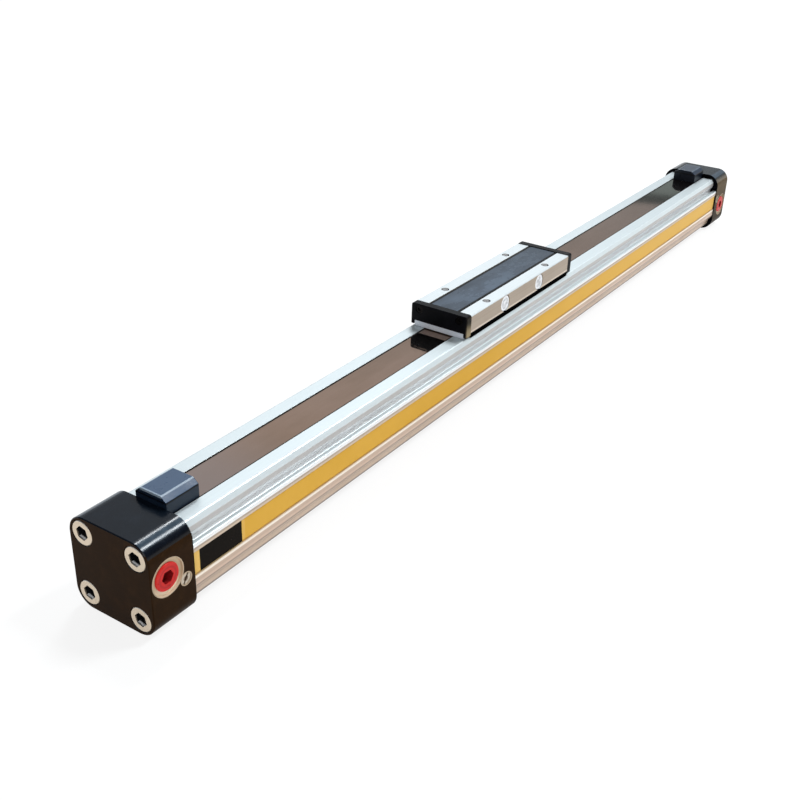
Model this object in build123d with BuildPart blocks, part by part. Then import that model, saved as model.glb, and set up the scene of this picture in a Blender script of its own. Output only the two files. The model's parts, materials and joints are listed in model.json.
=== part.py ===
from build123d import *
import os

# Rodless pneumatic cylinder: a slotted barrel, a piston that drives a carriage
# through the slot, and two steel bands that seal the slot.
# X runs along the stroke, the ports look towards -Y, Z is up and z = 0 is the
# underside of the end caps. Left is -X. All sizes are millimetres.

os.makedirs("parts", exist_ok=True)

# Overall sizes
bore_diameter = 25.0
stroke = 400.0
end_allowance = 100.0  # carriage centre to the outer end face when the stroke ends
carriage_x = -20.0  # carriage centre at rest
overall_length = stroke + 2 * end_allowance
bore_radius = bore_diameter / 2

# End caps
cap_size = 41.0
cap_length = 22.0
cap_corner = 8.2
cap_edge = 0.4
axis_z = cap_size / 2
spigot_length = 7.0
spigot_gap = 0.1
cap_face_x = overall_length / 2
cap_inner_x = cap_face_x - cap_length
spigot_x = cap_inner_x - spigot_length

# Cap screws: a hexagon head, a sleeve with an inside thread and a plain shank
screw_pitch = 27.0
screw_head_radius = 5.3
screw_head_length = 4.0
screw_sleeve_radius = 4.0
screw_sleeve_length = 16.0
screw_shank_radius = 2.45
screw_shank_length = 18.0  # from the sleeve's end, most of it in the barrel
screw_hex_radius = 3.1  # corner radius of the hexagon
screw_hex_depth = 3.5
tapped_radius = 2.1  # bore of an M5 thread
screw_fit = 0.1
tapped_fit = 0.05

# Air port, its plug and the cushion needle
port_inset = 8.6  # from the outer end face
port_rise = 3.7  # above the bore axis on the left cap
port_radius = 4.4
port_depth = 9.0
spot_face_radius = 7.6
spot_face_depth = 1.0
passage_radius = 2.3
plug_flange_radius = 5.8
plug_flange_thickness = 0.9
plug_length = 6.5
plug_socket_radius = 2.9
plug_socket_depth = 5.0
plug_fit = 0.1
needle_inset = 17.4
needle_drop = 2.25  # below the bore axis on the left cap
needle_radius = 2.5
needle_length = 7.0
needle_tip_length = 2.0
needle_tip_radius = 0.9
needle_recess = 0.3
needle_slot_width = 0.8
needle_slot_depth = 0.9
needle_fit = 0.05
bleed_radius = 1.0
bleed_offset = 9.2  # from the bore axis

# Cushion tube and cap seal
tube_radius = 4.5
tube_wall = 1.6
tube_seat = 6.0
tube_reach = 15.0
tube_fit = 0.05
ring_width = 1.8
ring_groove_depth = 1.5
ring_fit = 0.08
ring_land = 0.8  # between the seal's groove and the cap's inner face

# Barrel section, half widths from the centre and heights from z = 0
barrel_base = 0.5
rail_top = 38.0
rail_flat_half = 15.5
rail_half = 17.1
rail_bevel = 2.2
rail_flank = 2.2
waist_half = 15.6
waist_rise = 2.0  # above the side groove's floor
groove_floor = 28.2
lip_inner_half = 17.4
lip_height = 1.7
side_half = 20.0
label_top = 26.5
label_bottom = 16.2
label_depth = 0.8
side_low = 11.3
shin_half = 17.6
shin_height = 7.5
heel_half = 16.4
heel_height = 3.6
foot_root_half = 11.0
foot_half = 12.5
fine_round = 0.15
edge_round = 0.5
nose_round = 0.8
root_round = 1.0
tapped_depth = 15.0

# Slot, sealing bands and magnet strips
slot_half = 3.5
recess_half = 8.6
recess_depth = 0.7
outer_band_half = 7.9
outer_band_thickness = 0.4
inner_band_half = 5.0
inner_band_thickness = 0.3
seat_crown = 0.1  # flat seat of the inner band, below the top of the bore
seat_side_gap = 0.2
band_gap = 0.05
band_end_gap = 1.5
magnet_half_width = 1.6
magnet_offset = 5.8
magnet_thickness = 1.5
magnet_fit = 0.1
magnet_end_gap = 24.0
band_bend_radius = 12.0
recess_floor = rail_top - recess_depth
seat_ceiling = axis_z + bore_radius - seat_crown
inner_band_top = seat_ceiling - band_gap

# Band clamps and their covers
cover_length = 17.5
cover_half = 8.0
cover_top_half = 5.2
cover_height = 8.1
cover_chamfer_height = 2.3
cover_wall = 0.8
cover_cavity_height = 5.0
cover_gap = 0.1
clamp_length = 13.0
clamp_half = 7.0
clamp_thickness = 1.6
clamp_inset = 1.6  # from the cap's inner face
clamp_screw_offset = 5.0
clamp_screw_radius = 1.0
clamp_head_radius = 1.9
clamp_head_height = 1.9
clamp_screw_depth = 3.0

# Carriage
carriage_length = 117.0
carriage_half_width = 16.5
end_plate_thickness = 4.5
body_height = 9.3
slide_gap = 0.15
strip_height = 2.55
strip_inner_half = 12.3
strip_skirt = 0.25
floor_thickness = 3.0
floor_half_length = 30.0
channel_half = 8.6
cover_strip_half = 9.0
cover_strip_thickness = 2.0
cover_strip_gap = 0.3
cover_rib_width = 1.0
cover_rib_height = 1.2
top_hole_pitch = 65.0
top_hole_gauge = 25.0
top_hole_depth = 8.0
pin_pitch = 38.0
pin_radius = 4.4
pin_length = 5.5
pin_sink = 0.2
pin_height = 4.4  # above the body's underside
pin_fit = 0.1
plate_rise = 0.4
plate_bottom = 3.0  # above the rail
plate_leg_width = 1.9
plate_leg_bottom = 0.9  # above the rail
plate_corner = 1.2
plate_screw_offset = 11.8
plate_screw_drop = 2.8  # below the plate's top
plate_screw_radius = 1.2
plate_head_radius = 2.05
plate_head_depth = 1.4
plate_screw_length = 12.0
wiper_thickness = 3.2
wiper_inset = 0.4
wiper_gap = 0.2
body_length = carriage_length - 2 * end_plate_thickness
strip_bottom = rail_top + slide_gap
body_bottom = strip_bottom + strip_height
body_top = body_bottom + body_height
floor_top = body_bottom + floor_thickness
plate_top = body_top + plate_rise

# Yoke and piston
head_plate_half = 12.0
head_plate_gap = 0.4
neck_gap = 0.2
piston_gap = 0.3
window_low = 4.0  # above the bore axis
window_height = 2.7
window_side_gap = 0.4
yoke_screw_pitch = 40.0
yoke_screw_offset = 5.0
yoke_screw_radius = 1.95
yoke_screw_head_radius = 3.4
yoke_screw_head_height = 2.2
yoke_screw_length = 4.8
head_end_gap = 1.0  # left between piston and cap spigot when the stroke ends
cushion_bore_gap = 0.3
cushion_bottom_gap = 1.5
cushion_seal_width = 2.0
cushion_seal_depth = 1.5
cushion_seal_inset = 1.2
cushion_seal_gap = 0.15
seal_width = 4.0
seal_depth = 2.6
seal_inset = 6.0
seal_gap = 0.12
magnet_ring_width = 3.0
magnet_ring_depth = 2.2
magnet_ring_sink = 0.3
wear_ring_width = 4.0
wear_ring_depth = 1.2
ring_spacing = 2.5
wear_ring_inset = 2.0  # from the head's inner end
ring_side_gap = 0.1
bolt_radius = 2.45
bolt_head_radius = 4.2
bolt_head_height = 3.5
bolt_grip = 8.0
piston_radius = bore_radius - piston_gap
piston_half_length = end_allowance - cap_length - spigot_length - head_end_gap
cushion_radius = tube_radius + cushion_bore_gap
cushion_depth = tube_reach - head_end_gap + cushion_bottom_gap + bolt_head_height
magnet_ring_inset = seal_inset + seal_width + ring_spacing
ring_stack = magnet_ring_inset + magnet_ring_width + ring_spacing + wear_ring_width
head_length = ring_stack + wear_ring_inset
yoke_half_length = piston_half_length - head_length
band_flat_z = inner_band_top - inner_band_thickness - cover_gap

label_strip_thickness = 0.3


def section_at(x):
    """Plane across the cylinder at x: sketch coordinates are world Y and Z."""
    return Plane(origin=(x, 0, 0), x_dir=(0, 1, 0), z_dir=(1, 0, 0))


def bore_at(x):
    """The same plane with its origin on the bore axis."""
    return Plane(origin=(x, 0, axis_z), x_dir=(0, 1, 0), z_dir=(1, 0, 0))


def front_at(y):
    """Plane facing -Y at y: sketch coordinates are world X and Z."""
    return Plane(origin=(0, y, 0), x_dir=(1, 0, 0), z_dir=(0, -1, 0))


def write(part, label):
    """Label a finished piece and write its file."""
    part.label = label
    export_step(part, f"parts/{label}.step")


# The right cap group is the left one turned half a turn about this axis, so its
# port sits low and its needle high on the same side
cap_turn = Axis((0, 0, axis_z), (0, 1, 0))
side_turn = Axis.Z
front_y = -cap_size / 2
left_port = (-cap_face_x + port_inset, axis_z + port_rise)
left_needle = (-cap_face_x + needle_inset, axis_z - needle_drop)
screw_corners = GridLocations(screw_pitch, screw_pitch, 2, 2)


# Barrel: one extruded section with side and foot dovetails, bore and slot
with BuildPart() as barrel:
    with BuildSketch(section_at(-cap_inner_x)):
        with BuildLine():
            FilletPolyline(
                (0, rail_top),
                (rail_flat_half, rail_top),
                (rail_half, rail_top - rail_bevel),
                (rail_half, rail_top - rail_bevel - rail_flank),
                (waist_half, groove_floor + waist_rise),
                (waist_half, groove_floor),
                (lip_inner_half, groove_floor),
                (lip_inner_half, groove_floor + lip_height),
                (side_half, groove_floor + lip_height),
                (side_half, label_top),
                (side_half - label_depth, label_top),
                (side_half - label_depth, label_bottom),
                (side_half, label_bottom),
                (side_half, side_low),
                (shin_half, shin_height),
                (heel_half, heel_height),
                (foot_root_half, heel_height),
                (foot_half, barrel_base),
                (0, barrel_base),
                radius=[nose_round] * 4 + [root_round, 0] + [edge_round] * 2 + [0] * 4 + [edge_round] * 5,
            )
            mirror(about=Plane.YZ)
        make_face()
        with Locations((0, axis_z)):
            Circle(bore_radius, mode=Mode.SUBTRACT)
        with Locations((0, axis_z)):
            Rectangle(
                2 * (inner_band_half + seat_side_gap),
                seat_ceiling - axis_z,
                align=(Align.CENTER, Align.MIN),
                mode=Mode.SUBTRACT,
            )
            Rectangle(
                2 * slot_half, rail_top - axis_z, align=(Align.CENTER, Align.MIN), mode=Mode.SUBTRACT
            )
        with Locations((0, recess_floor)):
            Rectangle(
                2 * recess_half, 2 * recess_depth, align=(Align.CENTER, Align.MIN), mode=Mode.SUBTRACT
            )
        with Locations((-magnet_offset, recess_floor), (magnet_offset, recess_floor)):
            Rectangle(
                2 * (magnet_half_width + magnet_fit),
                magnet_thickness,
                align=(Align.CENTER, Align.MAX),
                mode=Mode.SUBTRACT,
            )
    extrude(amount=2 * cap_inner_x)
    for end in (-1, 1):
        with BuildSketch(bore_at(end * cap_inner_x)):
            with screw_corners:
                Circle(screw_shank_radius + tapped_fit)
        extrude(amount=-end * tapped_depth, mode=Mode.SUBTRACT)
    with BuildSketch(Plane.XY.offset(recess_floor)):
        for end in (-1, 1):
            with Locations((end * (cap_inner_x - clamp_inset - clamp_length / 2), 0)):
                with GridLocations(1, 2 * clamp_screw_offset, 1, 2):
                    Circle(clamp_screw_radius + tapped_fit)
    extrude(amount=-(clamp_screw_depth + fine_round), mode=Mode.SUBTRACT)
write(barrel.part, "barrel")


# Magnet strips: hold the outer band down on both sides of the slot
magnet_length = 2 * (cap_inner_x - magnet_end_gap)
with BuildPart() as magnet_strips:
    with BuildSketch(Plane.XY.offset(recess_floor)):
        with GridLocations(1, 2 * magnet_offset, 1, 2):
            Rectangle(magnet_length, 2 * magnet_half_width)
    extrude(amount=-(magnet_thickness - magnet_fit))
write(magnet_strips.part, "magnet_strips")


# Outer band: lies on the recess floor and is lifted over the yoke in the carriage
lift_z = floor_top + 0.8
lift_half = floor_half_length + 2
ramp_half = body_length / 2 - 1
band_end_x = cap_inner_x - band_end_gap
with BuildPart() as outer_band:
    with BuildSketch(Plane.XZ.offset(-outer_band_half)):
        with BuildLine():
            FilletPolyline(
                (-band_end_x, recess_floor),
                (carriage_x - ramp_half, recess_floor),
                (carriage_x - lift_half, lift_z),
                (carriage_x + lift_half, lift_z),
                (carriage_x + ramp_half, recess_floor),
                (band_end_x, recess_floor),
                radius=band_bend_radius,
            )
            offset(amount=outer_band_thickness, side=Side.LEFT)
        make_face()
    extrude(amount=2 * outer_band_half)
    with BuildSketch(Plane.XY.offset(recess_floor)):
        for end in (-1, 1):
            with Locations((end * (cap_inner_x - clamp_inset - clamp_length / 2), 0)):
                with GridLocations(1, 2 * clamp_screw_offset, 1, 2):
                    Circle(clamp_screw_radius + screw_fit)
    extrude(amount=2 * outer_band_thickness, mode=Mode.SUBTRACT)
write(outer_band.part, "outer_band")


# Inner band: lies in its seat over the slot and dips through the yoke's window
dip_z = axis_z + window_low + window_height / 2
dip_half = yoke_half_length - band_bend_radius / 3
inner_end_x = spigot_x + spigot_length / 2
with BuildPart() as inner_band:
    with BuildSketch(Plane.XZ.offset(-inner_band_half)):
        with BuildLine():
            FilletPolyline(
                (-inner_end_x, inner_band_top),
                (carriage_x - dip_half, inner_band_top),
                (carriage_x - floor_half_length, dip_z),
                (carriage_x + floor_half_length, dip_z),
                (carriage_x + dip_half, inner_band_top),
                (inner_end_x, inner_band_top),
                radius=band_bend_radius,
            )
            offset(amount=inner_band_thickness, side=Side.RIGHT)
        make_face()
    extrude(amount=2 * inner_band_half)
write(inner_band.part, "inner_band")


# End cap: block with a spigot, screw seats, air port and cushion drillings
with BuildPart() as end_cap:
    with BuildSketch(bore_at(-cap_face_x)):
        RectangleRounded(cap_size, cap_size, cap_corner)
    extrude(amount=cap_length)
    chamfer(end_cap.faces().sort_by(Axis.X)[0].edges(), cap_edge)
    with BuildSketch(bore_at(-cap_inner_x)):
        Circle(bore_radius - spigot_gap)
    extrude(amount=spigot_length)
    # Flats that leave room for the end of the inner band
    with BuildSketch(bore_at(-spigot_x)):
        for up in (-1, 1):
            with Locations((0, up * (band_flat_z - axis_z + bore_radius / 2))):
                Rectangle(2 * (inner_band_half + seat_side_gap), bore_radius)
    extrude(amount=-(spigot_length / 2 + cover_gap), mode=Mode.SUBTRACT)
    # Groove of the cap seal
    with BuildSketch(bore_at(-cap_inner_x + ring_land)):
        Circle(bore_radius + spigot_gap)
        Circle(bore_radius - spigot_gap - ring_groove_depth, mode=Mode.SUBTRACT)
    extrude(amount=ring_width, mode=Mode.SUBTRACT)
    # Air chamber behind the cushion tube
    with BuildSketch(bore_at(-cap_face_x + port_inset - passage_radius)):
        Circle(tube_radius + tube_fit)
    extrude(amount=cap_face_x - port_inset + passage_radius - spigot_x, mode=Mode.SUBTRACT)
    with BuildSketch(bore_at(-cap_face_x)):
        with screw_corners:
            Circle(screw_head_radius + screw_fit)
    extrude(amount=screw_head_length + screw_fit, mode=Mode.SUBTRACT)
    with BuildSketch(bore_at(-cap_face_x)):
        with screw_corners:
            Circle(screw_sleeve_radius + screw_fit)
    extrude(amount=screw_sleeve_length + screw_fit, mode=Mode.SUBTRACT)
    with BuildSketch(bore_at(-cap_face_x)):
        with screw_corners:
            Circle(screw_shank_radius + screw_fit)
    extrude(amount=cap_length, mode=Mode.SUBTRACT)
    with BuildSketch(front_at(front_y)):
        with Locations(left_port):
            Circle(spot_face_radius)
    extrude(amount=-spot_face_depth, mode=Mode.SUBTRACT)
    with BuildSketch(front_at(front_y)):
        with Locations(left_port):
            Circle(port_radius)
    extrude(amount=-port_depth, mode=Mode.SUBTRACT)
    with BuildSketch(front_at(front_y)):
        with Locations(left_port):
            Circle(passage_radius)
    extrude(amount=front_y, mode=Mode.SUBTRACT)
    with BuildSketch(front_at(front_y)):
        with Locations(left_needle):
            Circle(needle_radius + needle_fit)
    extrude(amount=-(needle_recess + needle_length + needle_fit), mode=Mode.SUBTRACT)
    with BuildSketch(front_at(front_y)):
        with Locations(left_needle):
            Circle(bleed_radius)
    extrude(amount=front_y + tube_radius / 2, mode=Mode.SUBTRACT)
    # Bleed drilling from the needle to the piston side
    with BuildSketch(section_at(-spigot_x)):
        with Locations((-bleed_offset, axis_z - needle_drop)):
            Circle(bleed_radius)
    extrude(amount=-(spigot_length + cap_length - needle_inset), mode=Mode.SUBTRACT)
write(end_cap.part, "left_end_cap")
write(end_cap.part.rotate(cap_turn, 180), "right_end_cap")


# Cap screws: hexagon socket in front, inside thread for mountings behind it
with BuildPart() as cap_screws:
    with BuildSketch(bore_at(-cap_face_x)):
        with screw_corners:
            Circle(screw_head_radius)
    extrude(amount=screw_head_length)
    chamfer(cap_screws.faces().filter_by(Axis.X).group_by(Axis.X)[0].edges(), cap_edge)
    with BuildSketch(bore_at(-cap_face_x + screw_head_length)):
        with screw_corners:
            Circle(screw_sleeve_radius)
    extrude(amount=screw_sleeve_length - screw_head_length)
    with BuildSketch(bore_at(-cap_face_x + screw_sleeve_length)):
        with screw_corners:
            Circle(screw_shank_radius)
    extrude(amount=screw_shank_length)
    with BuildSketch(bore_at(-cap_face_x)):
        with screw_corners:
            RegularPolygon(screw_hex_radius, 6, rotation=15)
    extrude(amount=screw_hex_depth, mode=Mode.SUBTRACT)
    with BuildSketch(bore_at(-cap_face_x)):
        with screw_corners:
            Circle(tapped_radius)
    extrude(amount=screw_sleeve_length - edge_round, mode=Mode.SUBTRACT)
write(cap_screws.part, "left_cap_screws")
write(cap_screws.part.rotate(cap_turn, 180), "right_cap_screws")


# Cap seal: square-section ring in the spigot's groove
with BuildPart() as cap_seal:
    with BuildSketch(bore_at(-cap_inner_x + ring_land + ring_fit)):
        Circle(bore_radius - ring_fit)
        Circle(bore_radius - spigot_gap - ring_groove_depth + ring_fit, mode=Mode.SUBTRACT)
    extrude(amount=ring_width - 2 * ring_fit)
write(cap_seal.part, "left_cap_seal")
write(cap_seal.part.rotate(cap_turn, 180), "right_cap_seal")


# Cushion tube: screwed into the cap, enters the piston near the end of the stroke
with BuildPart() as cushion_tube:
    with BuildSketch(bore_at(-spigot_x - tube_seat)):
        Circle(tube_radius)
        Circle(tube_radius - tube_wall, mode=Mode.SUBTRACT)
    extrude(amount=tube_seat + tube_reach)
    chamfer(cushion_tube.edges().filter_by(GeomType.CIRCLE).sort_by(Axis.X)[-2:].sort_by(SortBy.RADIUS)[-1], 1.0)
write(cushion_tube.part, "left_cushion_tube")
write(cushion_tube.part.rotate(cap_turn, 180), "right_cushion_tube")


# Cushion needle: slotted adjusting screw with a conical tip
with BuildPart() as cushion_needle:
    with BuildSketch(front_at(front_y + needle_recess)):
        with Locations(left_needle):
            Circle(needle_radius)
    extrude(amount=-(needle_length - needle_tip_length))
    with BuildSketch(front_at(front_y + needle_recess + needle_length - needle_tip_length)):
        with Locations(left_needle):
            Circle(needle_radius)
    with BuildSketch(front_at(front_y + needle_recess + needle_length)):
        with Locations(left_needle):
            Circle(needle_tip_radius)
    loft()
    with BuildSketch(front_at(front_y + needle_recess)):
        with Locations(left_needle):
            Rectangle(3 * needle_radius, needle_slot_width, rotation=60)
    extrude(amount=-needle_slot_depth, mode=Mode.SUBTRACT)
write(cushion_needle.part, "left_cushion_needle")
write(cushion_needle.part.rotate(cap_turn, 180), "right_cushion_needle")


# Port plug: transport plug with a hexagon socket, its flange in the spot face
plug_front_y = front_y + spot_face_depth - plug_flange_thickness
with BuildPart() as port_plug:
    with BuildSketch(front_at(plug_front_y)):
        with Locations(left_port):
            Circle(plug_flange_radius)
    extrude(amount=-plug_flange_thickness)
    chamfer(port_plug.faces().sort_by(Axis.Y)[0].edges(), cap_edge)
    with BuildSketch(front_at(plug_front_y)):
        with Locations(left_port):
            Circle(port_radius - plug_fit)
    extrude(amount=-plug_length)
    with BuildSketch(front_at(plug_front_y)):
        with Locations(left_port):
            RegularPolygon(plug_socket_radius, 6)
    extrude(amount=-plug_socket_depth, mode=Mode.SUBTRACT)
write(port_plug.part, "left_port_plug")
write(port_plug.part.rotate(cap_turn, 180), "right_port_plug")


# Band clamp: plate and four screws that hold the end of the outer band
outer_band_top = recess_floor + outer_band_thickness
clamp_mid_x = -(cap_inner_x - clamp_inset - clamp_length / 2)
with BuildPart() as band_clamp:
    with BuildSketch(Plane.XY.offset(outer_band_top)):
        with Locations((clamp_mid_x, 0)):
            RectangleRounded(clamp_length, 2 * clamp_half, nose_round)
            with GridLocations(1, 2 * clamp_screw_offset, 1, 2):
                Circle(clamp_screw_radius + screw_fit, mode=Mode.SUBTRACT)
    extrude(amount=clamp_thickness)
write(band_clamp.part, "left_band_clamp")
write(band_clamp.part.rotate(side_turn, 180), "right_band_clamp")

with BuildPart() as clamp_screws:
    with BuildSketch(Plane.XY.offset(recess_floor - clamp_screw_depth)):
        with Locations((clamp_mid_x, 0)):
            with GridLocations(1, 2 * clamp_screw_offset, 1, 2):
                Circle(clamp_screw_radius)
    extrude(amount=clamp_screw_depth + outer_band_thickness + clamp_thickness)
    with BuildSketch(Plane.XY.offset(outer_band_top + clamp_thickness)):
        with Locations((clamp_mid_x, 0)):
            with GridLocations(1, 2 * clamp_screw_offset, 1, 2):
                Circle(clamp_head_radius)
    extrude(amount=clamp_head_height)
write(clamp_screws.part, "left_clamp_screws")
write(clamp_screws.part.rotate(side_turn, 180), "right_clamp_screws")


# Band cover: hollow moulding over the clamp, chamfered along its top
cover_base = outer_band_top
with BuildPart() as band_cover:
    with BuildSketch(section_at(-cap_inner_x + cover_gap)):
        with BuildLine():
            FilletPolyline(
                (0, cover_base + cover_height),
                (cover_top_half, cover_base + cover_height),
                (cover_half, cover_base + cover_height - cover_chamfer_height),
                (cover_half, cover_base),
                radius=nose_round,
            )
            Line((cover_half, cover_base), (0, cover_base))
            mirror(about=Plane.YZ)
        make_face()
    extrude(amount=cover_length - cover_gap)
    fillet(band_cover.faces().sort_by(Axis.X)[-1].edges().sort_by(Axis.Z)[1:], edge_round)
    with BuildSketch(Plane.XY.offset(cover_base)):
        with Locations((-cap_inner_x + cover_length / 2, 0)):
            Rectangle(cover_length - 2 * cover_wall, 2 * (cover_half - cover_wall))
    extrude(amount=cover_cavity_height, mode=Mode.SUBTRACT)
write(band_cover.part, "left_band_cover")
write(band_cover.part.rotate(side_turn, 180), "right_band_cover")


# Label strip: plain coloured strip in the front recess
with BuildPart() as label_strip:
    with BuildSketch(front_at(-side_half + label_depth)):
        with Locations((0, (label_top + label_bottom) / 2)):
            Rectangle(2 * cap_inner_x - 2 * cover_gap, label_top - label_bottom - 2 * fine_round)
    extrude(amount=label_strip_thickness)
write(label_strip.part, "label_strip")


# Piston yoke: runs in the bore, reaches up through the slot to the head plate
window_floor = axis_z + window_low
window_roof = window_floor + window_height
window_half = inner_band_half + window_side_gap
head_plate_bottom = rail_top + head_plate_gap
with BuildPart() as piston_yoke:
    with BuildSketch(bore_at(carriage_x - yoke_half_length)):
        Circle(piston_radius)
    extrude(amount=2 * yoke_half_length)
    # Neck in the slot and head plate under the carriage
    with BuildSketch(Plane.XY.offset(axis_z + window_low + window_height)):
        with Locations((carriage_x, 0)):
            Rectangle(2 * floor_half_length, 2 * (slot_half - neck_gap))
    extrude(amount=head_plate_bottom - window_roof)
    with BuildSketch(Plane.XY.offset(head_plate_bottom)):
        with Locations((carriage_x, 0)):
            RectangleRounded(2 * floor_half_length, 2 * head_plate_half, nose_round)
    extrude(amount=body_bottom - head_plate_bottom)
    # Window for the inner band, open to the top outside the neck
    with BuildSketch(Plane.XY.offset(window_floor)):
        with Locations((carriage_x, 0)):
            Rectangle(2 * yoke_half_length, 2 * window_half)
    extrude(amount=window_height, mode=Mode.SUBTRACT)
    with BuildSketch(Plane.XY.offset(window_floor)):
        with Locations((carriage_x, 0)):
            Rectangle(2 * yoke_half_length, 2 * window_half)
            Rectangle(2 * floor_half_length, 2 * window_half, mode=Mode.SUBTRACT)
    extrude(amount=bore_radius, mode=Mode.SUBTRACT)
    # Tapped holes for the carriage screws and the piston bolts
    with BuildSketch(Plane.XY.offset(body_bottom)):
        with Locations((carriage_x, 0)):
            with GridLocations(yoke_screw_pitch, 2 * yoke_screw_offset, 2, 2):
                Circle(yoke_screw_radius + tapped_fit)
    extrude(amount=-(body_bottom - head_plate_bottom), mode=Mode.SUBTRACT)
    for end in (-1, 1):
        with BuildSketch(bore_at(carriage_x + end * yoke_half_length)):
            Circle(bolt_radius + tapped_fit)
        extrude(amount=-end * (bolt_grip + edge_round), mode=Mode.SUBTRACT)
write(piston_yoke.part, "piston_yoke")


# Piston head, its rings and its bolt, drawn for the right end
head_inner_x = carriage_x + yoke_half_length
head_outer_x = carriage_x + piston_half_length
ring_floor = {
    "seal": piston_radius - seal_depth,
    "wear": piston_radius - wear_ring_depth,
    "magnet": piston_radius - magnet_ring_depth,
}
ring_start = {
    "seal": head_outer_x - seal_inset - seal_width,
    "wear": head_inner_x + wear_ring_inset,
    "magnet": head_outer_x - magnet_ring_inset - magnet_ring_width,
}
ring_length = {"seal": seal_width, "wear": wear_ring_width, "magnet": magnet_ring_width}
carriage_turn = Axis((carriage_x, 0, 0), (0, 0, 1))
with BuildPart() as piston_head:
    with BuildSketch(bore_at(head_inner_x)):
        Circle(piston_radius)
    extrude(amount=head_outer_x - head_inner_x)
    chamfer(piston_head.faces().sort_by(Axis.X)[-1].edges(), cap_edge)
    with BuildSketch(bore_at(head_outer_x)):
        Circle(cushion_radius)
    extrude(amount=-cushion_depth, mode=Mode.SUBTRACT)
    with BuildSketch(bore_at(head_outer_x - cushion_seal_inset)):
        Circle(cushion_radius + cushion_seal_depth)
    extrude(amount=-cushion_seal_width, mode=Mode.SUBTRACT)
    for kind in ring_floor:
        with BuildSketch(bore_at(ring_start[kind])):
            Circle(bore_radius)
            Circle(ring_floor[kind], mode=Mode.SUBTRACT)
        extrude(amount=ring_length[kind], mode=Mode.SUBTRACT)
    with BuildSketch(bore_at(head_inner_x)):
        Circle(bolt_radius + screw_fit)
    extrude(amount=head_outer_x - head_inner_x - cushion_depth, mode=Mode.SUBTRACT)
    # Flat under the inner band
    with BuildSketch(Plane.XY.offset(band_flat_z)):
        with Locations((head_inner_x, 0)):
            Rectangle(
                head_outer_x - head_inner_x,
                2 * (inner_band_half + seat_side_gap),
                align=(Align.MIN, Align.CENTER),
            )
    extrude(amount=bore_radius, mode=Mode.SUBTRACT)
write(piston_head.part, "right_piston_head")
write(piston_head.part.rotate(carriage_turn, 180), "left_piston_head")

ring_names = {"seal": "piston_seal", "wear": "wear_ring", "magnet": "magnet_ring"}
ring_outer = {
    "seal": bore_radius - seal_gap,
    "wear": bore_radius - seal_gap,
    "magnet": piston_radius - magnet_ring_sink,
}
for kind in ring_names:
    with BuildPart() as piston_ring:
        with BuildSketch(bore_at(ring_start[kind] + ring_side_gap)):
            Circle(ring_outer[kind])
            Circle(ring_floor[kind] + ring_side_gap, mode=Mode.SUBTRACT)
        extrude(amount=ring_length[kind] - 2 * ring_side_gap)
        with BuildSketch(Plane.XY.offset(band_flat_z)):
            with Locations((head_inner_x, 0)):
                Rectangle(
                    head_outer_x - head_inner_x,
                    2 * (inner_band_half + seat_side_gap),
                    align=(Align.MIN, Align.CENTER),
                )
        extrude(amount=bore_radius, mode=Mode.SUBTRACT)
    write(piston_ring.part, "right_" + ring_names[kind])
    write(piston_ring.part.rotate(carriage_turn, 180), "left_" + ring_names[kind])

with BuildPart() as cushion_seal:
    with BuildSketch(bore_at(head_outer_x - cushion_seal_inset - ring_side_gap)):
        Circle(cushion_radius + cushion_seal_depth - ring_side_gap)
        Circle(tube_radius + cushion_seal_gap, mode=Mode.SUBTRACT)
    extrude(amount=-(cushion_seal_width - 2 * ring_side_gap))
write(cushion_seal.part, "right_cushion_seal")
write(cushion_seal.part.rotate(carriage_turn, 180), "left_cushion_seal")

with BuildPart() as piston_bolt:
    with BuildSketch(bore_at(head_outer_x - cushion_depth)):
        Circle(bolt_head_radius)
    extrude(amount=bolt_head_height)
    with BuildSketch(bore_at(head_outer_x - cushion_depth + bolt_head_height)):
        RegularPolygon(bolt_radius, 6)
    extrude(amount=-bolt_head_height / 2, mode=Mode.SUBTRACT)
    with BuildSketch(bore_at(head_inner_x - bolt_grip)):
        Circle(bolt_radius)
    extrude(amount=bolt_grip + head_outer_x - cushion_depth - head_inner_x)
write(piston_bolt.part, "right_piston_bolt")
write(piston_bolt.part.rotate(carriage_turn, 180), "left_piston_bolt")


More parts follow.
